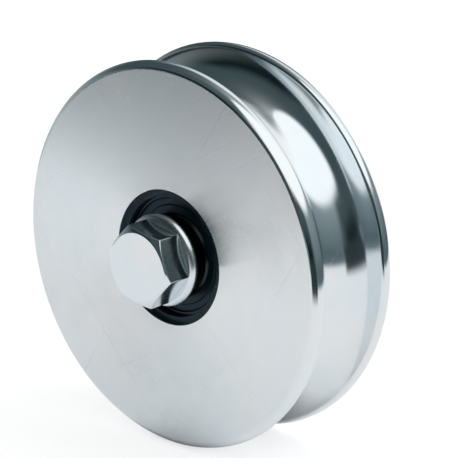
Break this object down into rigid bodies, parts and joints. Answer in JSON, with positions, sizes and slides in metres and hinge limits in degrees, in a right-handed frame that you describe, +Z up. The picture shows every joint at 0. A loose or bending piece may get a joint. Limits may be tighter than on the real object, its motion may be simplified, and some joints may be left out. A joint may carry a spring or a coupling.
{
  "type": "sliding gate wheel",
  "caption": "Turned steel wheel with a half-round groove that rolls on a round rail under a sliding gate, on sealed ball bearings and a hex bolt axle with washers and nut.",
  "frame": {"origin": "centre of the wheel: on the axle, halfway between its two faces", "axes": "+Y along the axle from the bolt head to the nut, +Z up, +X to the right seen from the bolt head"},
  "size_m": [0.1, 0.0675, 0.1],
  "materials": {
    "wheel_zinc": "bright zinc plate over fine turning marks",
    "hardware_zinc": "bright zinc plate",
    "turned_steel": "turned, black oxide",
    "bearing_steel": "ground, black oxide",
    "ball_steel": "polished",
    "cage_steel": "pressed sheet",
    "spring_steel": "black phosphate, lightly oiled",
    "seal_rubber": "moulded, satin"
  },
  "bodies": {
    "axle": {"axle_bolt": "hardware_zinc", "front_washer": "hardware_zinc", "front_bush": "turned_steel", "front_bearing_inner_ring": "bearing_steel", "rear_bearing_inner_ring": "bearing_steel", "rear_bush": "turned_steel", "rear_washer": "hardware_zinc", "axle_nut": "hardware_zinc"},
    "wheel": {"wheel_body": "wheel_zinc", "retaining_ring": "spring_steel", "front_bearing_outer_ring": "bearing_steel", "front_bearing_front_seal": "seal_rubber", "front_bearing_rear_seal": "seal_rubber", "rear_bearing_outer_ring": "bearing_steel", "rear_bearing_front_seal": "seal_rubber", "rear_bearing_rear_seal": "seal_rubber"},
    "front_cage": {"front_bearing_balls": "ball_steel", "front_bearing_front_cage": "cage_steel", "front_bearing_rear_cage": "cage_steel", "front_bearing_rivets": "cage_steel"},
    "rear_cage": {"rear_bearing_balls": "ball_steel", "rear_bearing_front_cage": "cage_steel", "rear_bearing_rear_cage": "cage_steel", "rear_bearing_rivets": "cage_steel"}
  },
  "joints": [
    {"name": "wheel_spin", "type": "hinge", "parent": "axle", "child": "wheel", "pos_m": [0, 0, 0], "axis": [0, 1, 0], "continuous": true},
    {"name": "front_cage_orbit", "type": "hinge", "parent": "axle", "child": "front_cage", "pos_m": [0, 0, 0], "axis": [0, 1, 0], "continuous": true},
    {"name": "rear_cage_orbit", "type": "hinge", "parent": "axle", "child": "rear_cage", "pos_m": [0, 0, 0], "axis": [0, 1, 0], "continuous": true}
  ],
  "couplings": [
    {"joint": "front_cage_orbit", "follows": "wheel_spin", "ratio": 0.619},
    {"joint": "rear_cage_orbit", "follows": "wheel_spin", "ratio": 0.619}
  ]
}
